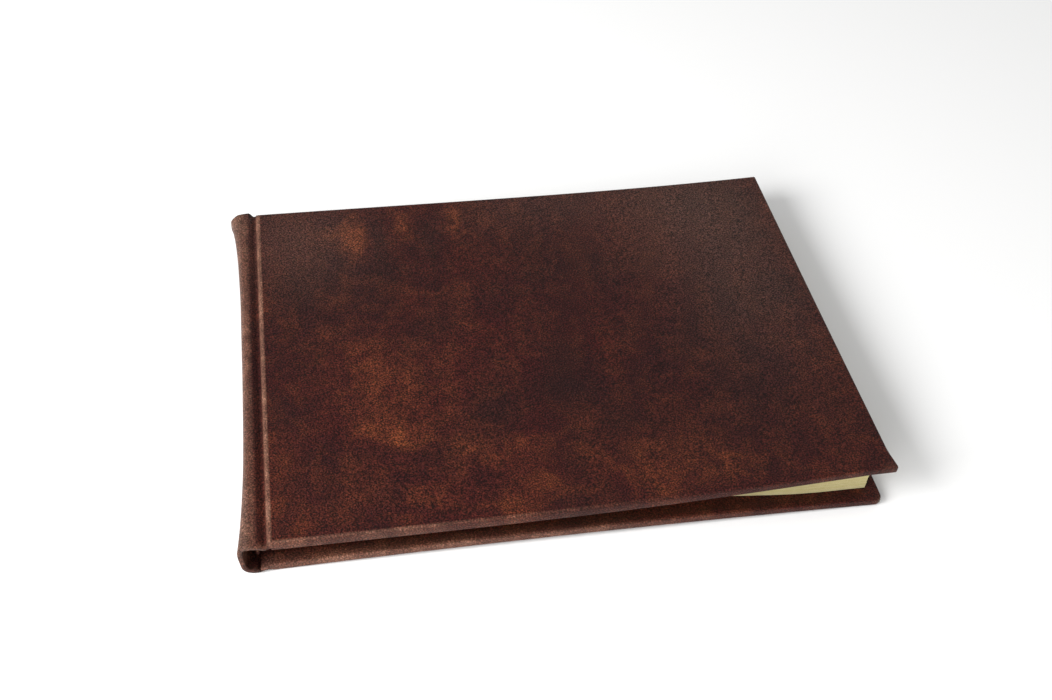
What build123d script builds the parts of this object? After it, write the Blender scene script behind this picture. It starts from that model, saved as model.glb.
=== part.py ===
"""Landscape guest book in a leather case binding, lying closed on its back cover.

Units are millimetres.  +X runs from the spine to the fore edge, +Y from tail to head and +Z from the back
cover to the front cover.  The origin is the middle of the closed book's footprint, on the surface it lies on.
"""

import os
from math import atan2, cos, sin

from build123d import *

os.makedirs("parts", exist_ok=True)

# ---- Driving dimensions ---------------------------------------------------------------------------------

# Leaves
leaf_length = 297.0
leaf_height = 215.0
leaf_thickness = 0.3
leaf_gap = 0.05  # air between leaves that turn
turning_leaf_count = 5
section_count = 8

# Case
end_square = 8.5  # covers' reach beyond the leaves at head and tail
fore_square = 6.5  # covers' reach beyond the leaves at the fore edge
closed_thickness = 21.0  # at the spine side
cover_corner_radius = 3.5
board_thickness = 2.5
leather_thickness = 0.85
turn_in_width = 15.0  # leather folded over onto the inside of a board
pastedown_thickness = 0.15
mull_thickness = 0.3
mull_flange_width = 25.0
mull_end_margin = 12.0  # mull stops this far short of head and tail of the leaves

# Front cover's curl: it lifts towards the fore edge, most at the tail
tail_lift = 8.9
head_lift = 3.7
curl_stretches = 6  # the curled surfaces are divided into this many, across the curl

# Spine and joints
groove_width = 5.0  # between a cover's hinge-side edge and the spine leather
groove_depth = 2.7
groove_lip_drop = 0.3  # joint leather starts this far below the cover's outer face
spine_drop = 0.7  # spine's flat shoulders lie this far inside the covers' outer faces
spine_width = 6.1  # spine leather's reach beyond the groove, at mid height
spine_flare = 3.1  # further reach at head and tail
flare_power = 3  # higher keeps the flare nearer the ends
spine_overhang = 0.6  # spine leather's length beyond the covers, at each end
front_shoulder_radius = 4.0
back_shoulder_radius = 5.8
stiffener_thickness = 0.5
hollow_gap = 1.3  # between the spine's stiffener and the lining on the leaves' backs
hinge_clearance = 0.3  # between a turning leaf and its own bound margin
turn_in_clearance = 0.5  # between the joint's turn-ins and the leaves' ends

# Sewing and lining on the back of the sections
tape_count = 3
tape_width = 12.0
tape_spacing = 60.0
tape_thickness = 0.4
thread_diameter = 0.4
kettle_margin = 14.0  # end stitches' distance from head and tail
lining_thickness = 0.25
band_diameter = 1.8

# ---- Derived sizes and places ---------------------------------------------------------------------------

cover_thickness = board_thickness + 2 * leather_thickness
inner_depth = cover_thickness + pastedown_thickness
stitch_layer = max(tape_thickness, thread_diameter)
backing_thickness = stitch_layer + mull_thickness + lining_thickness
spine_depth = groove_width + spine_width  # beyond the covers' hinge-side edges
hinge_inset = spine_depth - leather_thickness - stiffener_thickness - hollow_gap - backing_thickness
cover_length = leaf_length - hinge_inset + fore_square
cover_height = leaf_height + 2 * end_square

fore_x = (cover_length + spine_depth + spine_flare) / 2
hinge_edge_x = fore_x - cover_length
joint_x = hinge_edge_x - groove_width
block_back_x = hinge_edge_x - hinge_inset  # hinge axes stand here too
block_fore_x = block_back_x + leaf_length
back_inner_z = inner_depth
front_inner_z = closed_thickness - inner_depth
leaf_pitch = leaf_thickness + leaf_gap
sections_low = back_inner_z + leaf_pitch + leaf_gap
sections_high = front_inner_z - (turning_leaf_count + 1) * leaf_pitch - leaf_gap
section_thickness = (sections_high - sections_low) / section_count
spine_low = spine_drop
spine_high = closed_thickness - spine_drop
spine_height = cover_height + 2 * spine_overhang
mull_height = leaf_height - 2 * mull_end_margin

# The curl runs askew, from the hinge-side edge's tail corner to the fore edge's, and its angle gives the
# head corner its smaller lift
lift_ratio = (tail_lift / head_lift) ** (1 / 3)
curl_angle = atan2((lift_ratio - 1) * cover_length, lift_ratio * cover_height)
curl_plane = Plane(
    origin=(0, 0, 0),
    x_dir=(cos(curl_angle), -sin(curl_angle), 0),
    z_dir=(-sin(curl_angle), -cos(curl_angle), 0),
)
curl_reach = cover_length * cos(curl_angle)
curl_start = hinge_edge_x * cos(curl_angle) + cover_height / 2 * sin(curl_angle)
curl_end = curl_start + curl_reach
level_start = curl_start - cover_height * sin(curl_angle) - 1


def save(piece, name):
    piece.part.label = name
    export_step(piece.part, f"parts/{name}.step")


# ---- Covers ---------------------------------------------------------------------------------------------


def outline(hinge_inset_x, edge_inset, corner_radius):
    # Plan of one layer of a cover, with its two fore-edge corners rounded
    low_x = hinge_edge_x + hinge_inset_x
    high_x = fore_x - edge_inset
    with BuildSketch() as plan:
        with Locations(((low_x + high_x) / 2, 0)):
            Rectangle(high_x - low_x, cover_height - 2 * edge_inset)
        if corner_radius > 0:
            fillet(plan.vertices().group_by(Axis.X)[-1], corner_radius)
    return plan.sketch


def back_layer(outer_depth, inner_depth, plan):
    # Flat layer between two depths below the back cover's outer face
    with BuildPart() as layer:
        with BuildSketch(Plane.XY.offset(outer_depth)):
            add(plan)
        extrude(amount=inner_depth - outer_depth)
    return layer.part


def curled_edge(z):
    # Section of the curled front cover across its curl: level, then rising with the cube of the way on
    Line((level_start, z), (curl_start, z))
    for index in range(curl_stretches):
        near = index / curl_stretches
        far = (index + 1) / curl_stretches
        rises = (near**3, near**2 * far, near * far**2, far**3)
        places = [near + (far - near) * step / 3 for step in range(4)]
        Bezier(
            *[(curl_start + curl_reach * place, z + tail_lift * rise) for place, rise in zip(places, rises)]
        )


def front_layer(outer_depth, inner_depth, plan):
    # Layer of the curled front cover between two depths below its outer face
    low_z = closed_thickness - inner_depth
    high_z = closed_thickness - outer_depth
    with BuildPart() as layer:
        with BuildSketch(curl_plane):
            with BuildLine():
                curled_edge(low_z)
                curled_edge(high_z)
                Line((level_start, low_z), (level_start, high_z))
                Line((curl_end, low_z + tail_lift), (curl_end, high_z + tail_lift))
            make_face()
        extrude(amount=cover_length, both=True)
        with BuildSketch():
            add(plan)
        extrude(amount=2 * closed_thickness, mode=Mode.INTERSECT)
    return layer.part


def build_cover(side, layer):
    # Board, infill, mull flange and pastedown, with the leather wrapped round them
    board_depth = leather_thickness + board_thickness
    board_plan = outline(leather_thickness, leather_thickness, cover_corner_radius - leather_thickness)
    window_plan = outline(leather_thickness, turn_in_width, 0)
    whole = layer(0, cover_thickness, outline(0, 0, cover_corner_radius))
    board_layer = layer(leather_thickness, board_depth, board_plan)
    window = layer(board_depth, cover_thickness, window_plan)
    with BuildSketch() as flange_plan:
        with Locations((hinge_edge_x + leather_thickness + mull_flange_width / 2, 0)):
            Rectangle(mull_flange_width, mull_height)
    flange_layer = layer(cover_thickness - mull_thickness, cover_thickness, flange_plan.sketch)
    with BuildSketch() as paper_plan:
        with Locations(((hinge_edge_x + leather_thickness + block_fore_x) / 2, 0)):
            Rectangle(block_fore_x - hinge_edge_x - leather_thickness, leaf_height)
    paper_layer = layer(cover_thickness, inner_depth, paper_plan.sketch)

    with BuildPart() as board:
        add(board_layer)
    save(board, f"{side}_board")

    with BuildPart() as leather:
        add(whole)
        add(board_layer, mode=Mode.SUBTRACT)
        add(window, mode=Mode.SUBTRACT)
    save(leather, f"{side}_cover_leather")

    with BuildPart() as infill:
        add(window)
        add(flange_layer, mode=Mode.SUBTRACT)
    save(infill, f"{side}_infill")

    with BuildPart() as flange:
        add(flange_layer)
    save(flange, f"{side}_mull_flange")

    with BuildPart() as pastedown:
        add(paper_layer)
    save(pastedown, f"{side}_pastedown")


build_cover("front", front_layer)
build_cover("back", back_layer)

# ---- Joint leathers: the grooves between covers and spine -----------------------------------------------

valley_x = hinge_edge_x - groove_width / 2
joint_turn_in = end_square - turn_in_clearance


def groove_band(outer_offset, inner_offset, y, length):
    # Stretch of the front groove's leather, between two depths below its outer face
    with BuildPart() as band:
        with BuildSketch(Plane.XZ.offset(-y)):
            with BuildLine():
                curves = []
                for depth in (outer_offset, inner_offset):
                    curves.append(
                        Spline(
                            (hinge_edge_x, closed_thickness - groove_lip_drop - depth),
                            (valley_x, closed_thickness - groove_depth - depth),
                            (joint_x, spine_high - depth),
                            tangents=((-1, -1), (-1, 0)),
                        )
                    )
                Line(curves[0] @ 0, curves[1] @ 0)
                Line(curves[0] @ 1, curves[1] @ 1)
            make_face()
        extrude(amount=-length)
    return band.part


groove_bands = [
    groove_band(0, leather_thickness, -cover_height / 2, cover_height),
    groove_band(leather_thickness, 2 * leather_thickness, -cover_height / 2, joint_turn_in),
    groove_band(leather_thickness, 2 * leather_thickness, cover_height / 2 - joint_turn_in, joint_turn_in),
]

with BuildPart() as front_joint_leather:
    add(groove_bands)
save(front_joint_leather, "front_joint_leather")

with BuildPart() as back_joint_leather:
    mirror(front_joint_leather.part, about=Plane.XY.offset(closed_thickness / 2))
save(back_joint_leather, "back_joint_leather")

# ---- Spine: hollow leather back with its card stiffener -------------------------------------------------


spine_layers = 2 * leather_thickness + stiffener_thickness
flare_stations = (-1, -0.6, 0, 0.6, 1)  # shares of the way from the middle to the ends


def spine_ring(outer_offset, inner_offset):
    # Full-length layer of the spine between two depths below its outer face, flared at head and tail
    with BuildPart() as ring:
        for share in flare_stations:
            side_x = hinge_edge_x - spine_depth - spine_flare * abs(share) ** flare_power
            with BuildSketch(Plane.XZ.offset(-share * spine_height / 2)):
                with BuildLine():
                    ends = []
                    for depth in (outer_offset, inner_offset):
                        top_radius = min(front_shoulder_radius, spine_width) - depth
                        low_radius = min(back_shoulder_radius, spine_width) - depth
                        left_x = side_x + depth
                        top = Line((joint_x, spine_high - depth), (left_x + top_radius, spine_high - depth))
                        JernArc(top @ 1, (-1, 0), top_radius, 90)
                        side_low = (left_x, spine_low + depth + low_radius)
                        Line((left_x, spine_high - depth - top_radius), side_low)
                        JernArc(side_low, (0, -1), low_radius, 90)
                        low = Line((left_x + low_radius, spine_low + depth), (joint_x, spine_low + depth))
                        ends.append((top @ 0, low @ 1))
                    Line(ends[0][0], ends[1][0])
                    Line(ends[0][1], ends[1][1])
                make_face()
        loft()
    return ring.part


leather_ring = spine_ring(0, spine_layers)
stiffener_ring = spine_ring(leather_thickness, leather_thickness + stiffener_thickness)
lining_ring = spine_ring(leather_thickness, spine_layers)
single_height = spine_height - 2 * turn_in_width  # stretch of the spine with no turned-in layer


def cut_to(height):
    # Keeps only what lies within this height, centred between tail and head
    Box(2 * cover_length, height, 4 * closed_thickness, mode=Mode.INTERSECT)



with BuildPart() as spine_stiffener:
    add(stiffener_ring)
    cut_to(spine_height - 2 * leather_thickness)
save(spine_stiffener, "spine_stiffener")

with BuildPart() as single_layer_stretch:
    add(lining_ring)
    cut_to(single_height)

with BuildPart() as spine_leather:
    add(leather_ring)
    add(single_layer_stretch.part, mode=Mode.SUBTRACT)
    add(spine_stiffener.part, mode=Mode.SUBTRACT)
save(spine_leather, "spine_leather")

# ---- Sewn sections --------------------------------------------------------------------------------------

fold_radius = section_thickness / 2

for index in range(section_count):
    section_z = sections_low + index * section_thickness
    with BuildPart() as section:
        with BuildSketch(Plane.XZ.offset(-leaf_height / 2)):
            with BuildLine():
                lower = Line((block_fore_x, section_z), (block_back_x + fold_radius, section_z))
                fold = ThreePointArc(
                    lower @ 1,
                    (block_back_x, section_z + fold_radius),
                    (block_back_x + fold_radius, section_z + section_thickness),
                )
                upper = Line(fold @ 1, (block_fore_x, section_z + section_thickness))
                Line(upper @ 1, lower @ 0)
            make_face()
        extrude(amount=leaf_height)
    save(section, f"section_{index + 1}")

# ---- Leaves that turn, and the margins they are bound by ------------------------------------------------


def leaf_slab(low_x, high_x, low_z):
    with BuildPart() as slab:
        with BuildSketch(Plane.XY.offset(low_z)):
            with Locations(((low_x + high_x) / 2, 0)):
                Rectangle(high_x - low_x, leaf_height)
        extrude(amount=leaf_thickness)
    return slab


leaf_names = ["front_flyleaf"] + [f"leaf_{index + 1}" for index in range(turning_leaf_count)]
leaf_lows = {name: front_inner_z - (index + 1) * leaf_pitch for index, name in enumerate(leaf_names)}
leaf_lows["back_flyleaf"] = back_inner_z + leaf_gap

for name, low_z in leaf_lows.items():
    save(leaf_slab(hinge_edge_x, block_fore_x, low_z), name)

margin_slabs = [
    leaf_slab(block_back_x, hinge_edge_x - hinge_clearance, low_z).part for low_z in leaf_lows.values()
]

with BuildPart() as leaf_margins:
    add(margin_slabs)
save(leaf_margins, "leaf_margins")

# ---- Sewing, linings and endbands -----------------------------------------------------------------------

tape_places = [(index - (tape_count - 1) / 2) * tape_spacing for index in range(tape_count)]
tape_x = block_back_x - tape_thickness / 2
tape_low = back_inner_z + leaf_gap
tape_high = front_inner_z - leaf_gap

with BuildPart() as sewing_tapes:
    with BuildSketch(Plane.XY.offset(tape_low)):
        with Locations([(tape_x, y) for y in tape_places]):
            Rectangle(tape_thickness, tape_width)
    extrude(amount=tape_high - tape_low)
save(sewing_tapes, "sewing_tapes")

# Link stitches run up the back beside each tape and at the two kettle stitches
kettle_y = leaf_height / 2 - kettle_margin
stitch_reach = (tape_width + thread_diameter) / 2
stitch_places = [-kettle_y, kettle_y]
for y in tape_places:
    stitch_places += [y - stitch_reach, y + stitch_reach]

with BuildPart() as sewing_thread:
    with BuildSketch(Plane.XY.offset(sections_low + fold_radius)):
        with Locations([(block_back_x - thread_diameter / 2, y) for y in stitch_places]):
            Circle(thread_diameter / 2)
    extrude(amount=sections_high - sections_low - section_thickness)
save(sewing_thread, "sewing_thread")


def back_sheet(outer_x, thickness, height):
    # Sheet glued flat over the back of the sections
    with BuildPart() as sheet:
        with BuildSketch(Plane.XY.offset(tape_low)):
            with Locations((outer_x + thickness / 2, 0)):
                Rectangle(thickness, height)
        extrude(amount=tape_high - tape_low)
    return sheet


mull_x = block_back_x - stitch_layer - mull_thickness
lining_x = mull_x - lining_thickness
save(back_sheet(mull_x, mull_thickness, mull_height), "spine_mull")
save(back_sheet(lining_x, lining_thickness, mull_height), "spine_lining")

for name, end in (("tail_band", -1), ("head_band", 1)):
    with BuildPart() as band:
        with BuildSketch(Plane.XY.offset(sections_low)):
            with Locations((block_back_x + band_diameter / 2, end * (leaf_height + band_diameter) / 2)):
                Circle(band_diameter / 2)
        extrude(amount=sections_high - sections_low)
    save(band, name)
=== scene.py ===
import random
from math import atan2, copysign, cos, exp, radians, sin

import bmesh
import bpy
from mathutils import Matrix, Vector, noise


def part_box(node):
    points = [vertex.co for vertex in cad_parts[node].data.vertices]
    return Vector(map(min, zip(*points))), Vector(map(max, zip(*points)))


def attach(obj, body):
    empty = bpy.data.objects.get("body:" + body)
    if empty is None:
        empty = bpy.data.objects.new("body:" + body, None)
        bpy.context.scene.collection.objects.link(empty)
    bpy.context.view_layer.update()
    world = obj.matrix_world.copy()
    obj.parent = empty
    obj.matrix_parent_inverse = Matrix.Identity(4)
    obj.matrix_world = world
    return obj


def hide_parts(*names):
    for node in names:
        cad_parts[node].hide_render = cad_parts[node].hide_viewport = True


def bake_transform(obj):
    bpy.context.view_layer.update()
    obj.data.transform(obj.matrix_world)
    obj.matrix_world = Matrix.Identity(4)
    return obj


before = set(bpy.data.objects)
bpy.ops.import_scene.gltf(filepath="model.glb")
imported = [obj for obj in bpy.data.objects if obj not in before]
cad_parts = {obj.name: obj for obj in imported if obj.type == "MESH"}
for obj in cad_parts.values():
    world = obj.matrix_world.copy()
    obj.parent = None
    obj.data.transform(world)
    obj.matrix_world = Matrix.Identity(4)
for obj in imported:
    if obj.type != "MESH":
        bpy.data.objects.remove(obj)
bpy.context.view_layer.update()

mm = 0.001
sameSpot = 1e-6  # places nearer than this are one place
hairline = 1e-7  # cuts leave nothing thinner
xWay, yWay = Vector((1, 0, 0)), Vector((0, 1, 0))

# places read from the frame
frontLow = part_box("front_cover_leather")[0]
backLow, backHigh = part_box("back_cover_leather")
spineLow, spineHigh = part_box("spine_leather")
blockLow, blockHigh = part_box("section_1")
coverThick = backHigh.z
closedThick = frontLow.z + coverThick
hingeX, foreX, halfHigh = backLow.x, backHigh.x, backHigh.y
jointX = spineHigh.x
coverLong = foreX - hingeX

print("places read")


def smooth(low, high, value):
    share = min(max((value - low) / (high - low), 0), 1)
    return share * share * (3 - 2 * share)


def fade(band, value, place=0.0):
    # 0 to 1 between a band's two distances, in mm, from a place
    return smooth(place + band[0] * mm, place + band[1] * mm, value)


def pieceFrom(bm, name, finish, shadeSmooth=True):
    # turns a bmesh into a finished object in the scene
    mesh = bpy.data.meshes.new(name)
    bm.to_mesh(mesh)
    bm.free()
    mesh.materials.append(finish)
    if shadeSmooth:
        mesh.shade_smooth()
    piece = bpy.data.objects.new(name, mesh)
    bpy.context.scene.collection.objects.link(piece)
    return piece


def cutAcross(bm, places, direction):
    for place in places:
        everything = bm.verts[:] + bm.edges[:] + bm.faces[:]
        bmesh.ops.bisect_plane(bm, geom=everything, dist=hairline, plane_co=direction * place,
                               plane_no=direction)


def evenSteps(low, high, count):
    return [low + (high - low) * index / count for index in range(1, count)]


def boxFrom(bm, low, high):
    made = bmesh.ops.create_cube(bm, size=1)["verts"]
    bmesh.ops.scale(bm, vec=high - low, verts=made)
    bmesh.ops.translate(bm, vec=(high + low) / 2, verts=made)


class Maker:
    # adds nodes to one tree, left to right in staggered rows, and links them
    columnWidth, rowHeight, rows = 180, 160, 3

    def __init__(self, tree):
        self.tree = tree
        self.column = 0

    def add(self, kind, links=None, **values):
        node = self.tree.nodes.new(kind)
        node.location = (self.column * self.columnWidth, -(self.column % self.rows) * self.rowHeight)
        self.column += 1
        for name, value in values.items():
            setattr(node, name, value)
        for socket, source in (links or {}).items():
            if isinstance(source, bpy.types.NodeSocket):
                self.tree.links.new(source, node.inputs[socket])
            else:
                node.inputs[socket].default_value = source
        return node

    def maths(self, operation, first, second, clamp=False):
        node = self.add("ShaderNodeMath", {0: first, 1: second}, operation=operation, use_clamp=clamp)
        return node.outputs[0]

    def ranged(self, value, fromLow, fromHigh, toLow=0.0, toHigh=1.0):
        links = {"Value": value, "From Min": fromLow, "From Max": fromHigh, "To Min": toLow, "To Max": toHigh}
        return self.add("ShaderNodeMapRange", links, interpolation_type="SMOOTHSTEP").outputs["Result"]

    def mixed(self, factor, first, second, blend="MIX"):
        node = self.add("ShaderNodeMix", data_type="RGBA", blend_type=blend)
        for name, source in (("Factor_Float", factor), ("A_Color", first), ("B_Color", second)):
            socket = next(s for s in node.inputs if s.identifier == name)
            if isinstance(source, bpy.types.NodeSocket):
                self.tree.links.new(source, socket)
            else:
                socket.default_value = source
        return next(s for s in node.outputs if s.identifier == "Result_Color")


def newGroup(name, inputs, outputs):
    group = bpy.data.node_groups.new(name, "ShaderNodeTree")
    for label, kind, default in inputs:
        socket = group.interface.new_socket(label, in_out="INPUT", socket_type=kind)
        if default is not None:
            socket.default_value = default
    for label, kind in outputs:
        group.interface.new_socket(label, in_out="OUTPUT", socket_type=kind)
    maker = Maker(group)
    return group, maker, maker.add("NodeGroupInput").outputs


def closeGroup(maker, results):
    end = maker.add("NodeGroupOutput")
    for label, source in results.items():
        maker.tree.links.new(source, end.inputs[label])


def newFinish(name, roughness, specular):
    finish = bpy.data.materials.new(name)
    finish.use_nodes = True
    finish.node_tree.nodes.clear()
    maker = Maker(finish.node_tree)
    shader = maker.add("ShaderNodeBsdfPrincipled", {"Roughness": roughness, "Specular IOR Level": specular})
    end = maker.add("ShaderNodeOutputMaterial")
    finish.node_tree.links.new(shader.outputs["BSDF"], end.inputs["Surface"])
    place = maker.add("ShaderNodeTexCoord").outputs["Object"]
    return finish, maker, shader, place


def useGroup(maker, group, **values):
    node = maker.add("ShaderNodeGroup")
    node.node_tree = group
    for name, source in values.items():
        if isinstance(source, bpy.types.NodeSocket):
            maker.tree.links.new(source, node.inputs[name])
        else:
            node.inputs[name].default_value = source
    return node.outputs


def bumpOnto(maker, shader, height, strength, distance):
    bump = maker.add("ShaderNodeBump", {"Height": height, "Strength": strength, "Distance": distance})
    maker.tree.links.new(bump.outputs["Normal"], shader.inputs["Normal"])


def rgba(red, green, blue):
    # 0-255 screen values to linear
    return tuple(((c / 255 + 0.055) / 1.055) ** 2.4 for c in (red, green, blue)) + (1.0,)


# soft cloudy blotches, for anything that has aged unevenly
cloudGroup, maker, given = newGroup(
    "cloudyTone",
    [("Place", "NodeSocketVector", None), ("Size", "NodeSocketFloat", 20.0),
     ("Low", "NodeSocketFloat", 0.4), ("High", "NodeSocketFloat", 0.65)],
    [("Mask", "NodeSocketFloat")],
)
clouds = maker.add("ShaderNodeTexNoise", {"Vector": given["Place"], "Scale": given["Size"], "Detail": 5.0,
                                          "Roughness": 0.55, "Distortion": 0.6})
closeGroup(maker, {"Mask": maker.ranged(clouds.outputs["Fac"], given["Low"], given["High"])})

# fine parallel fibres and specks, for paper, card and cloth
fibreGroup, maker, given = newGroup(
    "fibreGrain",
    [("Place", "NodeSocketVector", None), ("Size", "NodeSocketFloat", 900.0)],
    [("Height", "NodeSocketFloat")],
)
stretched = maker.add("ShaderNodeMapping", {"Vector": given["Place"], "Scale": (0.35, 1.0, 1.0)}).outputs[0]
fibre = maker.add("ShaderNodeTexNoise", {"Vector": stretched, "Scale": given["Size"], "Detail": 4.0})
closeGroup(maker, {"Height": fibre.outputs["Fac"]})

# weave of a plain cloth
weaveGroup, maker, given = newGroup(
    "plainWeave",
    [("Place", "NodeSocketVector", None), ("Threads", "NodeSocketFloat", 300.0)],
    [("Height", "NodeSocketFloat")],
)
alongY = maker.add("ShaderNodeTexWave", {"Vector": given["Place"], "Scale": given["Threads"],
                                         "Distortion": 0.6, "Detail": 1.0}, bands_direction="Y")
alongZ = maker.add("ShaderNodeTexWave", {"Vector": given["Place"], "Scale": given["Threads"],
                                         "Distortion": 0.6, "Detail": 1.0}, bands_direction="Z")
closeGroup(maker, {"Height": maker.maths("MULTIPLY", alongY.outputs["Fac"], alongZ.outputs["Fac"])})

# pebbled leather grain: soft cells with creases between them
pebbleGroup, maker, given = newGroup(
    "pebbleGrain",
    [("Place", "NodeSocketVector", None), ("Size", "NodeSocketFloat", 650.0)],
    [("Height", "NodeSocketFloat"), ("Creases", "NodeSocketFloat")],
)
wander = maker.add("ShaderNodeTexNoise", {"Vector": given["Place"], "Scale": 260.0,
                                          "Detail": 2.0}).outputs["Color"]
bent = maker.add("ShaderNodeVectorMath", {0: wander, "Scale": 0.0022}, operation="SCALE").outputs[0]
moved = maker.add("ShaderNodeVectorMath", {0: given["Place"], 1: bent}, operation="ADD").outputs[0]
cells = maker.add("ShaderNodeTexVoronoi", {"Vector": moved, "Scale": given["Size"]},
                  feature="DISTANCE_TO_EDGE")
creases = maker.ranged(cells.outputs["Distance"], 0.0, 0.22, 1.0, 0.0)
fine = maker.add("ShaderNodeTexNoise", {"Vector": given["Place"], "Scale": 2400.0,
                                        "Detail": 2.0}).outputs["Fac"]
rounded = maker.ranged(cells.outputs["Distance"], 0.0, 0.5)
raised = maker.maths("ADD", rounded, maker.maths("MULTIPLY", fine, 0.35))
closeGroup(maker, {"Height": raised, "Creases": creases})

print("shared effects made")


leather = {
    "base": rgba(58, 20, 18),
    "dark": rgba(37, 18, 18),
    "warm": rgba(108, 54, 31),
    # worn leather colour, also used for painted highlights and painted sheen
    "wornAndLit": rgba(140, 100, 82),
    # greyer colour for the painted sheen
    "sheenColour": rgba(84, 64, 56),
    # darker colour for the painted shade in the grain's creases
    "creaseShade": rgba(24, 11, 11),
    "darkShare": 0.6,
    "smallShare": 0.75,
    "streakShare": 0.6,
    "streakTurn": -12,  # degrees off the spine
    "streakSquash": 0.3,
    "warmAll": 0.26,
    "warmLeast": 0.35,
    "gloomShare": 1.1,
    "sheenShare": 0.8,
    "fleckSize": 1250.0,
    "fleckTint": 0.3,
    "wearAndLightLeast": 0.6,
    "wearAndLightBroken": 0.6,
    "creaseShadeShare": 0.45,
    "roughest": 0.52,
    "smoother": -0.1,
    "grainStrength": 0.9,
    "grainDepth": 0.24 * mm,
}


def makeLeather():
    finish, maker, shader, place = newFinish("coverLeather", 0.5, 0.11)
    tone = maker.add("ShaderNodeAttribute", attribute_name="tone").outputs["Fac"]
    wearAndLight = maker.add("ShaderNodeAttribute", attribute_name="wearAndLight").outputs["Fac"]
    sheen = maker.add("ShaderNodeAttribute", attribute_name="sheen").outputs["Fac"]
    wide = useGroup(maker, cloudGroup, Place=place, Size=16.0, Low=0.36, High=0.66)["Mask"]
    small = useGroup(maker, cloudGroup, Place=place, Size=90.0, Low=0.42, High=0.68)["Mask"]
    turned = (0, 0, radians(leather["streakTurn"]))
    drawn = maker.add("ShaderNodeMapping", {"Vector": place, "Rotation": turned,
                                            "Scale": (1.0, leather["streakSquash"], 1.0)}).outputs[0]
    streaks = useGroup(maker, cloudGroup, Place=drawn, Size=52.0, Low=0.4, High=0.68)["Mask"]
    pebble = useGroup(maker, pebbleGroup, Place=place)
    # dyed base: dark clouds, then warmer rubbed patches and streaks down the skin
    clouded = maker.maths("MULTIPLY", wide, leather["darkShare"])
    colour = maker.mixed(clouded, leather["base"], leather["dark"])
    broken = maker.maths("ADD", maker.maths("MULTIPLY", small, leather["smallShare"]),
                         maker.maths("MULTIPLY", streaks, leather["streakShare"]))
    lighter = maker.maths("MAXIMUM", tone, 0.0)
    warmth = maker.maths("MULTIPLY", lighter, maker.maths("ADD", leather["warmLeast"], broken), clamp=True)
    colour = maker.mixed(maker.maths("MULTIPLY", broken, leather["warmAll"]), colour, leather["warm"])
    colour = maker.mixed(warmth, colour, leather["warm"])
    darker = maker.maths("MAXIMUM", maker.maths("MULTIPLY", tone, -1.0), 0.0)
    gloom = maker.maths("MULTIPLY", darker, leather["gloomShare"], clamp=True)
    colour = maker.mixed(gloom, colour, leather["dark"])
    # painted sheen: the colour turns greyer and lighter where reflected light is painted on
    sheenMix = maker.maths("MULTIPLY", sheen, leather["sheenShare"], clamp=True)
    colour = maker.mixed(sheenMix, colour, leather["sheenColour"])
    # grain flecks, and over them the worn colour where the leather is worn and where light is painted on, as
    # painted highlights and painted light and shade
    speckle = maker.add("ShaderNodeTexNoise", {"Vector": place, "Scale": leather["fleckSize"],
                                               "Detail": 3.0}).outputs
    flecks = maker.ranged(speckle["Fac"], 0.36, 0.66)
    fleck = maker.mixed(leather["fleckTint"], flecks, speckle["Color"])
    colour = maker.mixed(1.0, colour, fleck, "OVERLAY")
    wearAndLightPatches = maker.maths("ADD", leather["wearAndLightLeast"],
                              maker.maths("MULTIPLY", small, leather["wearAndLightBroken"]))
    # mask of wear and painted light: painted highlights on the ridge, the spine's flank, the lip's top and
    # the tail edges, and painted light and shade across the back cover's tail margin
    rubbedAndLit = maker.maths("MULTIPLY", wearAndLight, wearAndLightPatches, clamp=True)
    colour = maker.mixed(rubbedAndLit, colour, maker.mixed(0.5, leather["wornAndLit"], fleck, "OVERLAY"))
    # painted shade: the grain's creases are given a darker colour
    creaseShaded = maker.maths("MULTIPLY", pebble["Creases"], leather["creaseShadeShare"])
    colour = maker.mixed(creaseShaded, colour, leather["creaseShade"])
    maker.tree.links.new(colour, shader.inputs["Base Color"])
    rough = maker.add("ShaderNodeMath", {0: small, 1: leather["smoother"], 2: leather["roughest"]},
                      operation="MULTIPLY_ADD").outputs[0]
    maker.tree.links.new(rough, shader.inputs["Roughness"])
    bumpOnto(maker, shader, pebble["Height"], leather["grainStrength"], leather["grainDepth"])
    return finish


def makePaper(name, pale, shaded, lineShare, fibreShare):
    finish, maker, shader, place = newFinish(name, 0.85, 0.25)
    fibre = useGroup(maker, fibreGroup, Place=place, Size=700.0)["Height"]
    aged = useGroup(maker, cloudGroup, Place=place, Size=30.0, Low=0.35, High=0.7)["Mask"]
    flat = maker.add("ShaderNodeMapping", {"Vector": place, "Scale": (6.0, 6.0, 5200.0)}).outputs[0]
    lines = maker.add("ShaderNodeTexNoise", {"Vector": flat, "Scale": 1.0, "Detail": 2.0}).outputs["Fac"]
    colour = maker.mixed(maker.maths("MULTIPLY", aged, 0.4), pale, shaded)
    colour = maker.mixed(maker.ranged(lines, 0.42, 0.62, 0.0, lineShare), colour, shaded)
    colour = maker.mixed(maker.ranged(fibre, 0.35, 0.75, 0.0, fibreShare), colour, rgba(255, 246, 214))
    maker.tree.links.new(colour, shader.inputs["Base Color"])
    bumpOnto(maker, shader, fibre, 0.15, 0.03 * mm)
    return finish


def makeCard(name, pale, shaded):
    finish, maker, shader, place = newFinish(name, 0.9, 0.2)
    fibre = useGroup(maker, fibreGroup, Place=place, Size=420.0)["Height"]
    aged = useGroup(maker, cloudGroup, Place=place, Size=55.0, Low=0.38, High=0.62)["Mask"]
    colour = maker.mixed(aged, pale, shaded)
    colour = maker.mixed(maker.ranged(fibre, 0.5, 0.72, 0.0, 0.3), colour, rgba(92, 84, 74))
    maker.tree.links.new(colour, shader.inputs["Base Color"])
    bumpOnto(maker, shader, fibre, 0.4, 0.1 * mm)
    return finish


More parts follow.
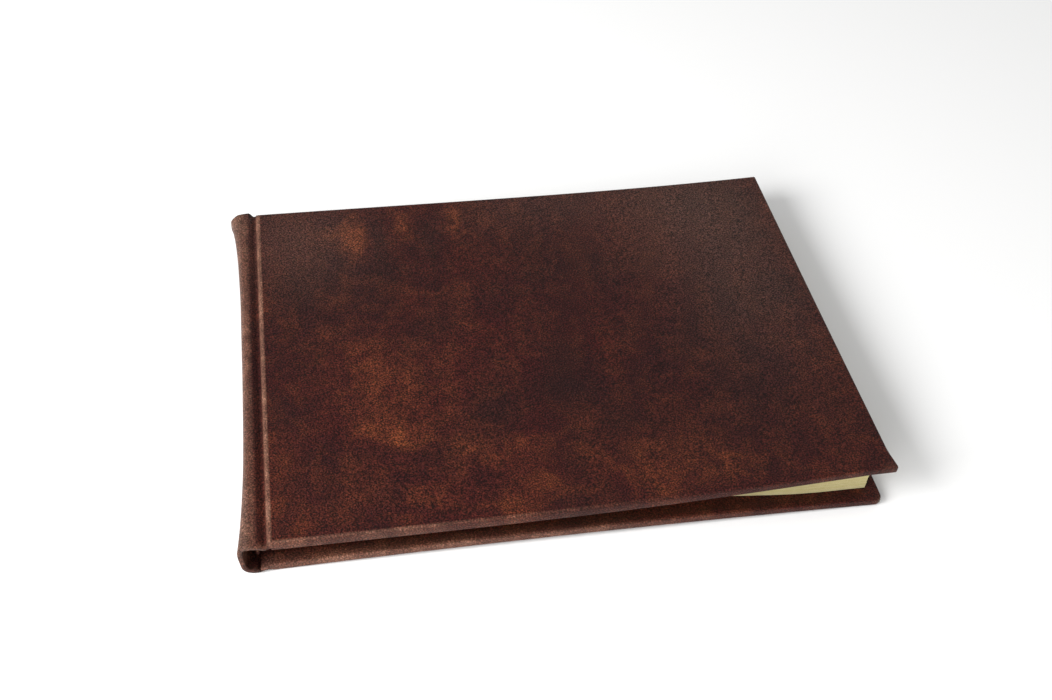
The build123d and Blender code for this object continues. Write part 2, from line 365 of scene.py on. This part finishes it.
def makeCloth(name, pale, shaded, threads):
    finish, maker, shader, place = newFinish(name, 0.9, 0.2)
    weave = useGroup(maker, weaveGroup, Place=place, Threads=threads)["Height"]
    aged = useGroup(maker, cloudGroup, Place=place, Size=80.0, Low=0.38, High=0.62)["Mask"]
    colour = maker.mixed(maker.ranged(weave, 0.1, 0.7), shaded, pale)
    colour = maker.mixed(maker.maths("MULTIPLY", aged, 0.3), colour, shaded)
    maker.tree.links.new(colour, shader.inputs["Base Color"])
    bumpOnto(maker, shader, weave, 0.6, 0.12 * mm)
    return finish


finishes = {
    "cover_leather": makeLeather(),
    # leaf edges darker than the leaf faces: painted shade
    "leaf_paper": makePaper("leafEdges", rgba(202, 189, 133), rgba(168, 154, 104), 0.45, 0.1),
    "endpaper": makePaper("endPaper", rgba(214, 204, 166), rgba(200, 189, 148), 0.0, 0.06),
    "millboard": makeCard("millBoard", rgba(150, 138, 118), rgba(120, 110, 94)),
    # dark brown spine card: painted shade in the hollow at the spine's head and tail
    "spine_card": makeCard("spineCard", rgba(74, 54, 44), rgba(56, 40, 34)),
    "lining_paper": makeCard("liningPaper", rgba(116, 92, 70), rgba(92, 72, 54)),
    "mull_cloth": makeCloth("mullCloth", rgba(150, 136, 112), rgba(112, 100, 80), 260.0),
    "tape_cloth": makeCloth("tapeCloth", rgba(222, 214, 196), rgba(182, 172, 150), 340.0),
    "thread": makeCloth("bindingThread", rgba(228, 220, 200), rgba(170, 160, 140), 900.0),
    "band_cloth": makeCloth("bandCloth", rgba(120, 86, 58), rgba(62, 30, 26), 110.0),
}
leafFaces = makePaper("leafFaces", rgba(218, 209, 172), rgba(206, 196, 156), 0.0, 0.06)
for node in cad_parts.values():
    for materialSlot in node.material_slots:
        materialSlot.material = finishes[materialSlot.material.name.split(".")[0]]
print("finishes made and put on the frame's nodes")


# leather wrapped round the boards
cover = {
    "leather": 0.85 * mm,
    "turnIn": 15.0 * mm,
    "edgeRound": 1.1 * mm,
    "underRound": 0.6 * mm,
    "frontCorner": 0.9 * mm,
    "backCorner": 3.5 * mm,
    "cell": 4.0 * mm,
    "nearEdge": 2.0 * mm,  # closer cuts where wear fades fast
    "nearHinge": (0.5 * mm, 1.2 * mm),
    "tailLift": 8.9 * mm,
    "headLift": 3.7 * mm,
    "square": blockLow.y + halfHigh,
    # side leather past the hinge edge: how far, its lowest height, how far under the outer face
    "tucks": ((1.3 * mm, 0.0, 1.45 * mm), (2.6 * mm, 0.5 * mm, 2.5 * mm), (5.4 * mm, 1.5 * mm, 1.4 * mm)),
    "tuckIn": (0.1 * mm, 0.75),  # how much the tucked leather draws in from the ends
}

liftRatio = (cover["tailLift"] / cover["headLift"]) ** (1 / 3)
curlAngle = atan2((liftRatio - 1) * coverLong, liftRatio * 2 * halfHigh)
curlStart = hingeX * cos(curlAngle) + halfHigh * sin(curlAngle)


def curlRise(x, y):
    # how far the front cover has curled up from level at a place
    way = (x * cos(curlAngle) - y * sin(curlAngle) - curlStart) / (coverLong * cos(curlAngle))
    return cover["tailLift"] * max(way, 0) ** 3


def wrappedCover(bm, cornerRound):
    # leather round a board lying with its outer face up at height coverThick, open at the hinge side
    bmesh.ops.create_cube(bm, size=1)
    bmesh.ops.scale(bm, vec=(coverLong, 2 * halfHigh, coverThick), verts=bm.verts)
    bmesh.ops.translate(bm, vec=((hingeX + foreX) / 2, 0, coverThick / 2), verts=bm.verts)
    corners = [e for e in bm.edges if all(abs(v.co.x - foreX) < sameSpot for v in e.verts)
               and abs(e.verts[0].co.z - e.verts[1].co.z) > sameSpot]
    bmesh.ops.bevel(bm, geom=corners, offset=cornerRound, segments=6, profile=0.5, affect="EDGES",
                    material=-1)
    for height, reach in ((0, cover["underRound"]), (coverThick, cover["edgeRound"])):
        rims = [e for e in bm.edges if all(abs(v.co.z - height) < sameSpot for v in e.verts)
                and any(v.co.x - hingeX > sameSpot for v in e.verts)]
        bmesh.ops.bevel(bm, geom=rims, offset=reach, segments=3, profile=0.5, affect="EDGES", material=-1)
    wall = [f for f in bm.faces if all(abs(v.co.x - hingeX) < sameSpot for v in f.verts)]
    bmesh.ops.delete(bm, geom=wall, context="FACES_ONLY")
    tuckSides(bm)
    turnIn, nearEdge = cover["turnIn"], cover["nearEdge"]
    countX, countY = round(coverLong / cover["cell"]), round(2 * halfHigh / cover["cell"])
    cutAcross(bm, evenSteps(hingeX, foreX, countX) + [foreX - turnIn, foreX - nearEdge]
              + [hingeX + reach for reach in cover["nearHinge"]], xWay)
    cutAcross(bm, evenSteps(-halfHigh, halfHigh, countY) + [turnIn - halfHigh, halfHigh - turnIn,
                                                           nearEdge - halfHigh, halfHigh - nearEdge], yWay)
    window = []
    for face in bm.faces:
        middle = face.calc_center_median()
        inner = middle.z < sameSpot or (middle.x < hingeX and middle.z < coverThick / 2)
        if inner and abs(middle.y) < halfHigh - turnIn and middle.x < foreX - turnIn:
            window.append(face)
    bmesh.ops.delete(bm, geom=window, context="FACES")


def tuckSides(bm):
    # side leather runs on under the joint and closes the rounded edge's open end
    tucks = [e for e in bm.edges if all(abs(v.co.x - hingeX) < sameSpot for v in e.verts)
             and any(v.co.z < coverThick - sameSpot for v in e.verts)]
    spare, drawIn = cover["tuckIn"]
    fromLow, fromHigh = 0.0, coverThick
    for reach, low, drop in cover["tucks"]:
        tucked = bmesh.ops.extrude_edge_only(bm, edges=tucks)["geom"]
        tucks = [g for g in tucked if isinstance(g, bmesh.types.BMEdge) and g.is_boundary
                 and all(v in tucked for v in g.verts)]
        for vert in [g for g in tucked if isinstance(g, bmesh.types.BMVert)]:
            past = max(abs(vert.co.y) - halfHigh + cover["edgeRound"] + spare, 0)
            vert.co.y -= copysign(drawIn * past, vert.co.y)
            share = (vert.co.z - fromLow) / (fromHigh - fromLow)
            vert.co.z = low + share * (coverThick - drop - low)
            vert.co.x = hingeX - reach
        fromLow, fromHigh = low, coverThick - drop


groove = {
    "edgeRadius": 1.3 * mm,
    "edgeTurn": 70,  # degrees
    "drop": 0.73 * mm,
    "bottomRadius": 1.0 * mm,
    "climbRadius": 2.0 * mm,
    "climbTurn": 28,
    "climb": 2.07 * mm,
    "shoulderRadius": 2.5 * mm,
}


class Strip:
    # leather swept from an edge line along Y: straight runs and turns, outer side up at the start
    def __init__(self, bm, edges, x, z):
        self.bm, self.edges = bm, edges
        self.point, self.ahead = Vector((x, 0, z)), Vector((-1, 0, 0))

    def outward(self):
        return Matrix.Rotation(radians(90), 3, "Y") @ self.ahead

    def run(self, length, steps=1):
        for _ in range(steps):
            made = bmesh.ops.extrude_edge_only(self.bm, edges=self.edges)["geom"]
            verts = [g for g in made if isinstance(g, bmesh.types.BMVert)]
            self.edges = [g for g in made if isinstance(g, bmesh.types.BMEdge)
                          and all(v in verts for v in g.verts)]
            bmesh.ops.translate(self.bm, vec=self.ahead * length / steps, verts=verts)
        self.point += self.ahead * length

    def turn(self, radius, degrees, steps):
        # positive degrees turn down over a ridge, negative ones up out of a hollow
        side = -1 if degrees > 0 else 1
        centre = self.point + self.outward() * radius * side
        verts = list({v for e in self.edges for v in e.verts})
        made = bmesh.ops.spin(self.bm, geom=self.edges + verts, cent=centre, axis=(0, 1, 0),
                              angle=-radians(degrees), steps=steps)["geom_last"]
        self.edges = [g for g in made if isinstance(g, bmesh.types.BMEdge)]
        turned = Matrix.Rotation(-radians(degrees), 3, "Y")
        self.point = centre + turned @ (self.point - centre)
        self.ahead = turned @ self.ahead

    def groove(self):
        # from the cover's edge down into the joint and more gently up to the spine's edge
        self.turn(groove["edgeRadius"], groove["edgeTurn"], 5)
        self.run(groove["drop"])
        self.turn(groove["bottomRadius"], -groove["edgeTurn"], 4)
        self.turn(groove["climbRadius"], -groove["climbTurn"], 3)
        self.run(groove["climb"], 2)
        self.turn(groove["shoulderRadius"], groove["climbTurn"], 4)


def hingeTopEdges(bm):
    return [e for e in bm.edges if e.is_boundary
            and all(abs(v.co.x - hingeX) < sameSpot and v.co.z > coverThick - sameSpot for v in e.verts)]


# light and dark patches in the leather: (x, y, reach along x, reach along y, strength), places in mm
patches = [
    (-88, 92, 5, 16, 1.5), (-94, 90, 14, 10, 0.8), (-59, 94, 5, 11, 1.0), (-30, 98, 4, 14, 0.9),
    (-30, 12, 8, 11, 0.4), (-83, -8, 10, 12, 0.1), (-85, -55, 11, 8, 0.75), (-71, -60, 9, 7, 0.9),
    (-77, -64, 8, 6, 0.6), (-41, -72, 12, 8, 0.5), (-66, -100, 12, 7, 0.5), (-31, -109, 10, 6, 0.6),
    (-13, -74, 9, 7, 0.45), (-9, -99, 9, 7, 0.5), (41, -99, 12, 8, 0.5), (46, -112, 9, 5, 0.5),
    (79, -102, 11, 8, 0.5), (-90, -20, 22, 30, 0.2), (-60, -30, 22, 24, 0.15), (60, -92, 40, 12, 0.25),
    (-75, 86, 5, 20, -0.65), (-69, 60, 12, 12, -0.5), (-45, 82, 7, 16, -0.6), (-119, 47, 12, 22, -0.45),
    (-30, -48, 14, 12, -0.6), (1, -38, 15, 13, -0.5), (10, -19, 12, 14, -0.5), (21, -42, 16, 14, -0.55),
    (32, -64, 13, 9, -0.5), (40, 22, 24, 34, -0.3), (100, 10, 36, 44, -0.25), (110, -60, 30, 34, -0.3),
    (-14, 29, 16, 24, -0.3), (-128, -85, 8, 30, 0.2), (10, 60, 10, 40, -0.25),
]
# painted sheen: greyer, lighter areas where reflected light is painted on, given like the patches
sheenPatches = [(-118, 92, 36, 40, 0.55), (112, 98, 56, 54, 0.65), (125, 20, 40, 60, 0.4), (20, 112, 50, 26, 0.35)]

# worn places and painted light: how strong, and bands in mm from the edge they follow, given as where they
# start and are full; the corner and rim are wear, the flank and ridge are wear with painted highlights, the
# lip and the back cover's tail edge are painted light, lighter towards the left, with a painted highlight
# along the lip's top, and the margin is painted light and shade, lighter at the tail edge and towards the
# left
wornAndLit = {
    "flank": 0.45, "flankBand": (0, -3), "flankFoot": (2, 8),
    "spineSheenBand": (-3.5, -6), "spineSheenHeight": (9, 17),
    "ridge": 0.85, "ridgeNear": (-1.9, -1), "ridgeFar": (1.2, 0.3), "ridgeHeight": (-1.5, 0),
    "lip": 0.28, "lipTop": 0.6, "lipBand": (2, 0.9), "lipLength": (90, -130), "lipHeight": (-0.9, -0.3),
    "corner": 0.2, "cornerBand": (6, 1),
    "rim": 0.06, "rimFore": (-0.8, -0.1), "rimEnds": (-0.8, 0),
    "tail": 0.65, "tailBand": (2.5, 0.3), "tailLength": (140, -60),
    "margin": 0.3, "marginBand": (8, 2), "marginLength": (100, -120),
    "underTone": 0.5,  # how much the patches show away from the front face
    "fadedOut": 6,  # squared distance at which a patch has faded away
}


def patchSum(spots, x, y):
    total = 0.0
    for spotX, spotY, reachX, reachY, strength in spots:
        away = ((x / mm - spotX) / reachX) ** 2 + ((y / mm - spotY) / reachY) ** 2
        if away < wornAndLit["fadedOut"]:
            total += strength * exp(-away)
    return total


# front cover: wear with painted highlights on the spine's flank and the board's ridge; on the lip, painted
# light that is lighter towards the left, with a painted highlight along its top
def frontWearAndLight(x, y, z):
    flank = fade(wornAndLit["flankBand"], x, jointX) * fade(wornAndLit["flankFoot"], z)
    ridge = fade(wornAndLit["ridgeNear"], x, hingeX) * fade(wornAndLit["ridgeFar"], x, hingeX)
    ridge *= fade(wornAndLit["ridgeHeight"], z, closedThick - 1.2 * mm)
    lip = fade(wornAndLit["lipBand"], y, -halfHigh) * fade(wornAndLit["lipLength"], x)
    lipTop = lip * fade(wornAndLit["lipHeight"], z - curlRise(x, y), closedThick)
    return max(wornAndLit["flank"] * flank, wornAndLit["ridge"] * ridge, wornAndLit["lipTop"] * lipTop, wornAndLit["lip"] * lip)


# back cover: wear with painted light along the tail edge, lighter towards the left; across the tail margin,
# painted light and shade, lighter at the edge and towards the left
def backWearAndLight(x, y):
    tail = fade(wornAndLit["tailBand"], y, -halfHigh) * fade(wornAndLit["tailLength"], x)
    margin = fade(wornAndLit["marginBand"], y, -halfHigh) * fade(wornAndLit["marginLength"], x)
    return max(wornAndLit["tail"] * tail, wornAndLit["margin"] * margin)


def paintToneWearAndLight(bm, isFront):
    toneLayer, wearAndLightLayer, sheenLayer = [bm.verts.layers.float.new(name) for name in ("tone", "wearAndLight", "sheen")]
    for vert in bm.verts:
        x, y, z = vert.co
        sheen = 0.0
        if isFront:
            # painted sheen along the spine's shoulder, and over the greyer areas of the front cover
            spineSheen = fade(wornAndLit["spineSheenBand"], x, jointX) * fade(wornAndLit["spineSheenHeight"], z)
            sheen = max(patchSum(sheenPatches, x, y), spineSheen)
        corner = Vector((x - foreX, abs(y) - halfHigh)).length
        rim = max(fade(wornAndLit["rimFore"], x, foreX), fade(wornAndLit["rimEnds"], abs(y), halfHigh))
        handledAndLit = frontWearAndLight(x, y, z) if isFront else backWearAndLight(x, y)
        onTop = isFront and z > coverThick
        vert[toneLayer] = patchSum(patches, x, y) * (1.0 if onTop else wornAndLit["underTone"])
        vert[wearAndLightLayer] = max(handledAndLit, wornAndLit["corner"] * fade(wornAndLit["cornerBand"], corner), wornAndLit["rim"] * rim)
        vert[sheenLayer] = sheen


spine = {
    "flare": 3.1 * mm,
    "overhang": spineHigh.y - halfHigh,
    "topRadius": 4.0 * mm,
    "footRadius": 5.8 * mm,
    "topShoulder": 2.1 * mm,  # how soon the flare starts past the joint, above and below
    "footShoulder": 0.6 * mm,
    "capFlare": (0.9 * mm, 1.7 * mm),  # further flare right at tail and head
    "capFlareHeight": (5, 14),
    "capReach": 2.2 * mm,  # headcap's swell beyond the covers
    "capLift": 0.4,  # share of that swell that goes upwards
    "capBand": (-2.5, -5.5),
    "capHeight": (12, 18),
    "tipPull": 4.2 * mm,  # how far the headcap's outer corner falls away
    "tipBand": (1.5, -5.5),
    "endsBand": (0, -2.2),
    "rimExtra": 1.15 * mm,
    "backRimExtra": 0.5 * mm,
    "rimDepth": (-16, -12),
    "leastLean": 0.2,
}
spineInner = spineLow.x + spine["flare"]

warp = {
    "ripple": 0.12 * mm,
    "ripplesPerMetre": 14,
    "rippleSlice": 0.7,
    "spineRipple": (3, 2),  # finer along the spine's length and height
    "lipDroop": 1.2 * mm,
    "lipDepth": 1.2 * mm,
    "lipLength": (-30, -150),
    "cornerBand": (12, 0),
    "cornerOut": 1.4 * mm,
    "cornerTail": 0.5 * mm,
    "backArch": 2.3 * mm,
    "backLap": 0.15 * mm,
    "backLapFrom": 4 * mm,
}


def ripple(x, y):
    place = Vector((x * warp["ripplesPerMetre"], y * warp["ripplesPerMetre"], warp["rippleSlice"]))
    return noise.noise(place) * warp["ripple"]


def reachEnds(vert):
    # the joint and spine leather runs on to the spine's full length, past the covers' rounded edges
    share = fade(spine["endsBand"], vert.co.x, hingeX)
    full = (halfHigh + spine["overhang"]) / (halfHigh - cover["edgeRound"])
    vert.co.y *= 1 + (full - 1) * share


def flareSpine(vert, x, y, z):
    share = min(abs(y) / halfHigh, 1)
    shoulder = spine["topShoulder"] if z > closedThick / 2 else spine["footShoulder"]
    onSpine = smooth(0, 1, min(max((jointX - x) / shoulder, 0), 1))
    capFlare = spine["capFlare"][y > 0] * share ** 7 * fade(spine["capFlareHeight"], z)
    vert.co.x -= (spine["flare"] * share ** 3 + capFlare) * onSpine


def warpFrontCover(vert, x, y, z):
    # the tail fore corner draws out, the cover curls up and its lip droops
    point = fade(warp["cornerBand"], Vector((x - foreX, y + halfHigh)).length)
    vert.co.x += warp["cornerOut"] * point
    vert.co.y -= warp["cornerTail"] * point
    vert.co.z += curlRise(x, y) + (ripple(x, y) if z > closedThick - 1 * mm else 0)
    if z < frontLow.z + warp["lipDepth"]:
        margin = smooth(-halfHigh + cover["square"] - 1 * mm, -halfHigh + 1 * mm, y)
        vert.co.z -= warp["lipDroop"] * margin * fade(warp["lipLength"], x, foreX)


def swellHeadcap(vert, x, y, z):
    # the headcap swells over the joint's end and falls away round its outer corner
    share = min(abs(y) / halfHigh, 1)
    crown = fade(spine["capBand"], x, hingeX) * fade(spine["capHeight"], z)
    tip = fade(spine["tipBand"], x, jointX)
    vert.co.y += (spine["capReach"] * crown - spine["tipPull"] * tip) * share ** 30
    vert.co.z += spine["capLift"] * spine["capReach"] * share ** 12 * crown * (1 - tip)


def makeFrontCase():
    bm = bmesh.new()
    wrappedCover(bm, cover["frontCorner"])
    strip = Strip(bm, hingeTopEdges(bm), hingeX, coverThick)
    strip.groove()
    strip.run(strip.point.x - (spineInner + spine["topRadius"]), 2)
    strip.turn(spine["topRadius"], 90, 8)
    strip.run(strip.point.z - (spineLow.z + spine["footRadius"] - frontLow.z), 6)
    strip.turn(spine["footRadius"], 90, 9)
    bmesh.ops.remove_doubles(bm, verts=bm.verts, dist=sameSpot)
    bmesh.ops.recalc_face_normals(bm, faces=bm.faces)
    outer = set(bm.verts)
    bmesh.ops.solidify(bm, geom=bm.faces[:], thickness=cover["leather"])
    bmesh.ops.translate(bm, vec=(0, 0, frontLow.z), verts=bm.verts)
    bm.normal_update()
    thickenEnds(bm, outer, hingeX - 0.9 * mm, hingeX - 2.2 * mm, spine["rimExtra"])
    for vert in bm.verts:
        x, y, z = vert.co
        flareSpine(vert, x, y, z)
        reachEnds(vert)
        if x > hingeX:
            warpFrontCover(vert, x, y, z)
        elif x < jointX:
            vert.co.x += ripple(y * warp["spineRipple"][0], z * warp["spineRipple"][1])
        if y > 0:
            swellHeadcap(vert, x, y, z)
    paintToneWearAndLight(bm, True)
    return pieceFrom(bm, "caseFront", finishes["cover_leather"])


def thickenEnds(bm, outer, fromX, fullX, extra):
    # the leather is turned in at head and tail of the joints and spine, so its rims are twice as thick
    for vert in bm.verts:
        tucked = vert.co.x > jointX and vert.normal.z > 0
        if vert in outer or vert.co.x > fromX or tucked:
            continue
        inward = Vector((vert.normal.x, 0, vert.normal.z))
        if inward.length < spine["leastLean"]:
            continue
        share = fade(spine["rimDepth"], abs(vert.co.y), halfHigh) * smooth(fromX, fullX, vert.co.x)
        vert.co += inward.normalized() * extra * share


def archRise(x, y):
    # how far the back cover's tail margin has arched up from level
    way = min(max((x - hingeX) / coverLong, 0), 1)
    margin = smooth(-halfHigh + cover["square"] - 0.5 * mm, -halfHigh + 1.5 * mm, y)
    return warp["backArch"] * 4 * way * (1 - way) * margin


def makeBackBoard():
    # the board arches with its leather
    low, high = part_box("back_board")
    bm = bmesh.new()
    boxFrom(bm, low, high)
    cutAcross(bm, evenSteps(low.x, high.x, 36), xWay)
    cutAcross(bm, evenSteps(low.y, low.y + cover["square"], 6), yWay)
    for vert in bm.verts:
        vert.co.z += archRise(vert.co.x, vert.co.y)
    return pieceFrom(bm, "backBoard", finishes["millboard"], shadeSmooth=False)


def makeBackCase():
    bm = bmesh.new()
    wrappedCover(bm, cover["backCorner"])
    strip = Strip(bm, hingeTopEdges(bm), hingeX, coverThick)
    strip.groove()
    bmesh.ops.remove_doubles(bm, verts=bm.verts, dist=sameSpot)
    bmesh.ops.recalc_face_normals(bm, faces=bm.faces)
    outer = set(bm.verts)
    bmesh.ops.solidify(bm, geom=bm.faces[:], thickness=cover["leather"])
    bm.normal_update()
    thickenEnds(bm, outer, hingeX - 0.9 * mm, hingeX - 1.8 * mm, spine["backRimExtra"])
    bmesh.ops.scale(bm, vec=(1, 1, -1), verts=bm.verts)
    bmesh.ops.translate(bm, vec=(0, 0, coverThick), verts=bm.verts)
    bmesh.ops.reverse_faces(bm, faces=bm.faces)
    for vert in bm.verts:
        x, y, z = vert.co
        reachEnds(vert)
        vert.co.z += archRise(x, y)
        if x < hingeX - warp["backLapFrom"]:
            vert.co.z += warp["backLap"]  # laps inside the spine leather
    paintToneWearAndLight(bm, False)
    return pieceFrom(bm, "caseBack", finishes["cover_leather"])


caseFront = makeFrontCase()
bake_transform(caseFront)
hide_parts("front_cover_leather", "front_joint_leather", "spine_leather")
caseBack = makeBackCase()
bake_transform(caseBack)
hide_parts("back_cover_leather", "back_joint_leather")
backBoard = makeBackBoard()
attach(backBoard, "back_cover")
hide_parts("back_board")
print("leather case made")


blockSizes = {
    "leavesPerSection": 8,
    "sections": 8,
    "turningLeaves": 5,
    "air": 0.03 * mm,
    "creep": 0.28 * mm,  # how far a section's inner leaves slide out at the fore edge
    "creepMiddle": 0.6,
    "foreWander": 0.16 * mm,
    "endWander": 0.12 * mm,
    "seed": 7,
    "tailIn": 5.4 * mm,  # the tail edge is trimmed out of square, further in towards the spine
    "tailInBand": (126, 48),
    "spineIn": 1.2 * mm,
    "spineInBand": (0, -148),
    "blockCells": 22,
    "sheetCells": 24,
    "bendCells": 14,
}


def trimTail(bm):
    for vert in bm.verts:
        if vert.co.y < 0:
            inward = blockSizes["tailIn"] * fade(blockSizes["tailInBand"], vert.co.x)
            vert.co.y += inward + blockSizes["spineIn"] * fade(blockSizes["spineInBand"], vert.co.x)


def leafPiece(bm, name):
    # the leaves' cut edges get a darker, yellower paper than their broad faces: painted shade on the edges
    bm.normal_update()
    for face in bm.faces:
        facesUp = abs(face.normal.z) > 0.5
        face.material_index = 1 if facesUp else 0
    piece = pieceFrom(bm, name, finishes["leaf_paper"], shadeSmooth=False)
    piece.data.materials.append(leafFaces)
    return piece


def makeBlock():
    dice = random.Random(blockSizes["seed"])
    bm = bmesh.new()
    for section in range(1, blockSizes["sections"] + 1):
        low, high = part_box(f"section_{section}")
        count = blockSizes["leavesPerSection"]
        pitch = (high.z - low.z) / count
        for index in range(count):
            inner = 1 - abs(index - (count - 1) / 2) / (count / 2)
            creep = blockSizes["creep"] * (inner - blockSizes["creepMiddle"])
            reach = creep + dice.uniform(-1, 1) * blockSizes["foreWander"]
            wander = [dice.uniform(-1, 0.4) * blockSizes["endWander"] for _ in range(2)]
            foot = low.z + pitch * index + blockSizes["air"] / 2
            head = low.z + pitch * (index + 1) - blockSizes["air"] / 2
            leafLow = Vector((low.x, low.y - wander[0], foot))
            boxFrom(bm, leafLow, Vector((high.x + reach, high.y + wander[1], head)))
    cutAcross(bm, evenSteps(blockLow.x, blockHigh.x, blockSizes["blockCells"]), xWay)
    trimTail(bm)
    return leafPiece(bm, "pageBlock")


pageBlock = makeBlock()
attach(pageBlock, "text_block")
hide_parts("leaf_margins", *[f"section_{index}" for index in range(1, blockSizes["sections"] + 1)])


def makeTurningLeaf(name, node):
    low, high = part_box(node)
    low = Vector((blockLow.x, low.y, low.z))
    bm = bmesh.new()
    boxFrom(bm, low, high)
    bendPlaces = evenSteps(low.x, hingeX, blockSizes["bendCells"])
    cutAcross(bm, bendPlaces + evenSteps(hingeX, high.x, blockSizes["sheetCells"]), xWay)
    trimTail(bm)
    return leafPiece(bm, name)


def makeBackPastedown():
    # trimmed along the tail together with the leaves
    low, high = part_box("back_pastedown")
    bm = bmesh.new()
    boxFrom(bm, low, high)
    cutAcross(bm, evenSteps(low.x, high.x, blockSizes["sheetCells"]), xWay)
    trimTail(bm)
    return pieceFrom(bm, "backPastedown", finishes["endpaper"], shadeSmooth=False)


backPastedown = makeBackPastedown()
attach(backPastedown, "back_cover")
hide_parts("back_pastedown")

turningLeaves = {"frontFlyleaf": "front_flyleaf", "backFlyleaf": "back_flyleaf"}
turningLeaves.update({f"leaf{index}": f"leaf_{index}" for index in range(1, blockSizes["turningLeaves"] + 1)})
for leafName, leafNode in turningLeaves.items():
    leaf = makeTurningLeaf(leafName, leafNode)
    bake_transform(leaf)
    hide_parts(leafNode)
print("leaves made")


studio = {
    "floor": (0.93, 0.93, 0.925, 1.0),
    "floorSize": 12,
    "floorDrop": 0.2 * mm,
    "sky": 0.57,
    "key": 32.5,
    "keyPlace": (-1.35, -0.5, 0.95),
    "keySize": 0.85,
    "fill": 9.0,
    "fillPlace": (-0.75, -1.0, 0.5),
    "fillSize": 0.7,
}

bm = bmesh.new()
bmesh.ops.create_grid(bm, x_segments=1, y_segments=1, size=studio["floorSize"])
bmesh.ops.translate(bm, vec=(0, 0, -studio["floorDrop"]), verts=bm.verts)
floorFinish, _, floorShader, _ = newFinish("studioFloor", 0.9, 0.1)
floorShader.inputs["Base Color"].default_value = studio["floor"]
floorMesh = bpy.data.meshes.new("studioFloor")
bm.to_mesh(floorMesh)
bm.free()
floorMesh.materials.append(floorFinish)
floor = bpy.data.objects.new("studioFloor", floorMesh)
bpy.context.scene.collection.objects.link(floor)

world = bpy.data.worlds.new("studioWorld")
world.use_nodes = True
world.node_tree.nodes["Background"].inputs["Color"].default_value = (1, 1, 1, 1)
world.node_tree.nodes["Background"].inputs["Strength"].default_value = studio["sky"]
bpy.context.scene.world = world


def areaLight(name, place, size, power):
    lamp = bpy.data.lights.new(name, "AREA")
    lamp.shape = "DISK"
    lamp.size, lamp.energy = size, power
    holder = bpy.data.objects.new(name, lamp)
    holder.location = place
    holder.rotation_euler = (-Vector(place)).to_track_quat("-Z", "Y").to_euler()
    bpy.context.scene.collection.objects.link(holder)


areaLight("keyLight", studio["keyPlace"], studio["keySize"], studio["key"])
areaLight("fillLight", studio["fillPlace"], studio["fillSize"], studio["fill"])
bpy.context.scene.view_settings.view_transform = "Standard"

eye = {
    "turn": radians(-12.388),
    "climb": radians(45.435),
    "roll": radians(4.001),
    "away": 699.3 * mm,
    "target": Vector((-1.91 * mm, 10.66 * mm, 0)),
    "lens": 44.0,
    "sensor": 36,
    "nearest": 0.01,
}
turn, climb = eye["turn"], eye["climb"]
back = Vector((sin(turn) * cos(climb), -cos(turn) * cos(climb), sin(climb)))
level = Vector((0, 0, 1)).cross(back).normalized()
upright = back.cross(level)
right = cos(eye["roll"]) * level + sin(eye["roll"]) * upright
top = -sin(eye["roll"]) * level + cos(eye["roll"]) * upright
cameraData = bpy.data.cameras.new("studioCamera")
cameraData.lens, cameraData.sensor_width, cameraData.sensor_fit = eye["lens"], eye["sensor"], "HORIZONTAL"
cameraData.clip_start = eye["nearest"]
camera = bpy.data.objects.new("studioCamera", cameraData)
camera.matrix_world = (
    Matrix.Translation(eye["target"] + back * eye["away"]) @ Matrix((right, top, back)).transposed().to_4x4()
)
bpy.context.scene.collection.objects.link(camera)
bpy.context.scene.camera = camera
print("floor, light and camera set")
